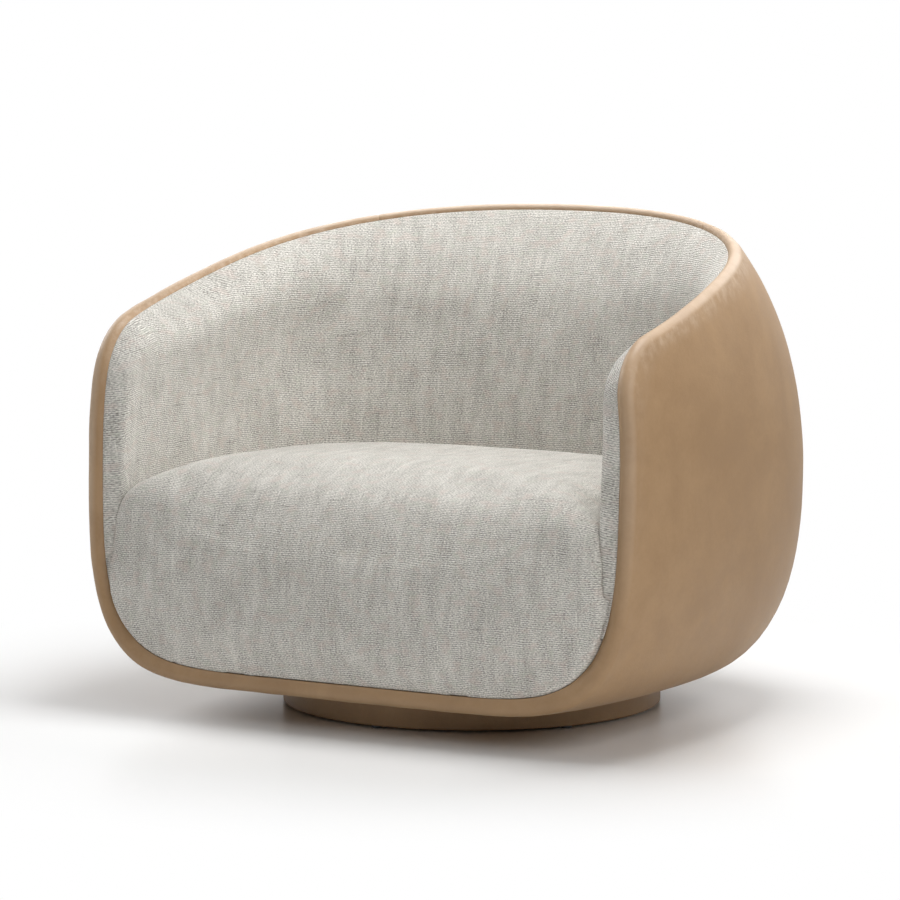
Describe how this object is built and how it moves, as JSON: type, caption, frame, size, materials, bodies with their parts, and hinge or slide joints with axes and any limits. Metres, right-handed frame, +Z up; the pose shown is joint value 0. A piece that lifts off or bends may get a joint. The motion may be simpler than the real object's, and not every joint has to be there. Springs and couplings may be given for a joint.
{
  "type": "swivel lounge chair",
  "caption": "Egg-shaped swivel lounge chair: a leather shell cut open at front and top, padded inside, with a deep crowned seat, turning on a low round plinth.",
  "frame": {"origin": "on the floor, under the middle of the chair's bounding box; the swivel axis stands 20 mm in front of it", "axes": "+Z up along the swivel axis, -Y towards the open front of the seat, +X to the left arm as seen by a person sitting in it, which is the right side seen from the front"},
  "size_m": [0.9998, 0.796, 0.7538],
  "materials": {
    "shell_leather": "smooth aniline-look leather, satin, soft mottling",
    "plinth_leather": "the same leather in fine pebble grain, satin",
    "pad_fabric": "slubbed linen-look weave over foam, matt",
    "seat_fabric": "slubbed linen-look weave over foam, matt",
    "felt": "needled felt, matt",
    "plywood": "sanded plywood, unfinished",
    "shell_plastic": "moulded, matt",
    "plate_zinc": "bright zinc plated",
    "screw_steel": "dark zinc plated",
    "rivet_steel": "plain, satin",
    "spring_steel": "drawn wire, satin",
    "clip_steel": "black coated, satin",
    "cage_plastic": "natural nylon, matt",
    "ball_steel": "polished",
    "glide_plastic": "black, satin"
  },
  "bodies": {
    "plinth": {"plinth_drum": "plywood", "plinth_leather_band": "plinth_leather", "base_board": "plywood", "glides": "glide_plastic", "glide_screws": "screw_steel", "swivel_lower_plate": "plate_zinc", "lower_plate_screws": "screw_steel", "centre_rivet": "rivet_steel"},
    "bearing": {"ball_cage": "cage_plastic", "bearing_balls": "ball_steel"},
    "chair": {"swivel_upper_plate": "plate_zinc", "upper_plate_bolts": "screw_steel", "tee_nuts": "plate_zinc", "bottom_board": "plywood", "front_rail": "plywood", "back_rail": "plywood", "left_rail": "plywood", "right_rail": "plywood", "back_rib_centre": "plywood", "back_rib_left": "plywood", "back_rib_right": "plywood", "back_rib_far_left": "plywood", "back_rib_far_right": "plywood", "shell_gussets": "plywood", "seat_springs": "spring_steel", "spring_clips": "clip_steel", "deck_pad": "felt", "moulded_shell": "shell_plastic", "leather_wrap": "shell_leather", "leather_back_panel": "shell_leather", "inside_pad": "pad_fabric", "seat_cushion": "seat_fabric"}
  },
  "joints": [
    {"name": "seat_swivel", "type": "hinge", "parent": "plinth", "child": "chair", "pos_m": [0, -0.02, 0.05], "axis": [0, 0, 1], "continuous": true},
    {"name": "cage_spin", "type": "hinge", "parent": "plinth", "child": "bearing", "pos_m": [0, -0.02, 0.044], "axis": [0, 0, 1], "continuous": true}
  ],
  "couplings": [
    {"joint": "cage_spin", "follows": "seat_swivel", "ratio": 0.5}
  ]
}
